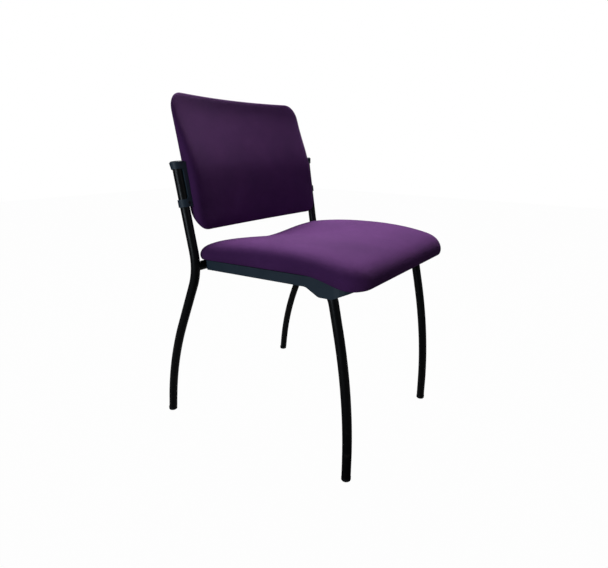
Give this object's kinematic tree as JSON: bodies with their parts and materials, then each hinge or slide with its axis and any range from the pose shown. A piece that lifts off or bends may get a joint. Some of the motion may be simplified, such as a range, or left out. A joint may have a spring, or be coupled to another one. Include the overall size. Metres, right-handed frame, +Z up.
{
  "type": "stacking chair",
  "caption": "Armless stacking side chair with a bent black tube frame, an upholstered waterfall seat on a moulded pan and an upholstered back on a moulded shell.",
  "frame": {"origin": "on the floor, under the centre of the chair's overall box", "axes": "+Z up, the sitter faces -Y, and +X is the sitter's left"},
  "size_m": [0.5408, 0.6006, 0.827],
  "materials": {
    "black_coated_steel": "satin epoxy powder coat",
    "black_nylon": "matte moulded nylon",
    "black_polypropylene": "fine-grained moulded polypropylene",
    "beech_plywood": "unfinished plywood",
    "upholstery_foam": "open-cell polyurethane foam",
    "purple_fabric": "plain-woven polyester contract fabric",
    "zinc_plated_steel": "bright zinc plate"
  },
  "bodies": {
    "root": {"rear_leg_left": "black_coated_steel", "rear_leg_right": "black_coated_steel", "front_leg_left": "black_coated_steel", "front_leg_right": "black_coated_steel", "rear_cross_tube": "black_coated_steel", "front_cross_tube": "black_coated_steel", "seat_lugs": "black_coated_steel", "foot_cap_rear_left": "black_nylon", "foot_cap_rear_right": "black_nylon", "foot_cap_front_left": "black_nylon", "foot_cap_front_right": "black_nylon", "seat_pan": "black_polypropylene", "seat_board": "beech_plywood", "seat_t_nuts": "zinc_plated_steel", "seat_foam": "upholstery_foam", "seat_cover": "purple_fabric", "seat_staples": "zinc_plated_steel", "seat_screws": "zinc_plated_steel", "seat_washers": "zinc_plated_steel", "back_shell": "black_polypropylene", "back_board": "beech_plywood", "back_t_nuts": "zinc_plated_steel", "back_foam": "upholstery_foam", "back_cover": "purple_fabric", "back_staples": "zinc_plated_steel", "back_screws": "zinc_plated_steel", "collar_screws": "zinc_plated_steel"}
  },
  "joints": []
}
